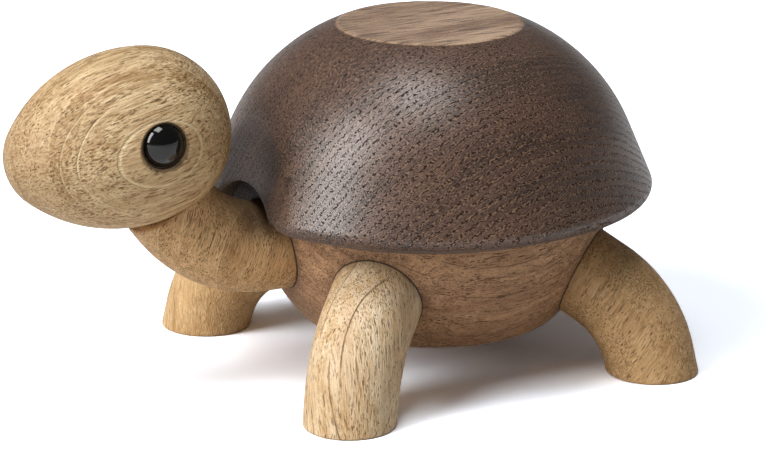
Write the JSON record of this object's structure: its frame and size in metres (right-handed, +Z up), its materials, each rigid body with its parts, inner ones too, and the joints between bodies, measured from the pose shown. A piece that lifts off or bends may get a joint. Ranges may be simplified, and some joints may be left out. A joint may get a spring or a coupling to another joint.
{
  "type": "turtle figurine",
  "caption": "Wooden turtle figurine with a dark domed shell, a round body, bent bar legs and neck, and an egg-shaped head that turns on a peg.",
  "frame": {"origin": "on the floor, under the middle of the whole ornament's box", "axes": "+Z up, the head faces -Y, the turtle's left side is +X"},
  "size_m": [0.074, 0.1113, 0.0577],
  "materials": {
    "dark_oak": "satin",
    "smoked_oak": "oiled",
    "natural_oak": "oiled",
    "eye_bead": "gloss"
  },
  "bodies": {
    "base": {"shell": "dark_oak", "body": "smoked_oak", "neck": "natural_oak", "front_left_leg": "natural_oak", "front_right_leg": "natural_oak", "rear_left_leg": "natural_oak", "rear_right_leg": "natural_oak", "leg_dowels": "natural_oak", "neck_dowel": "natural_oak", "head_peg": "natural_oak"},
    "head": {"head": "natural_oak", "left_eye": "eye_bead", "right_eye": "eye_bead"}
  },
  "joints": [
    {"name": "head_turn", "type": "hinge", "parent": "base", "child": "head", "pos_m": [0, -0.02911, 0.0324], "axis": [0, -0.6018, 0.7986], "continuous": true}
  ]
}
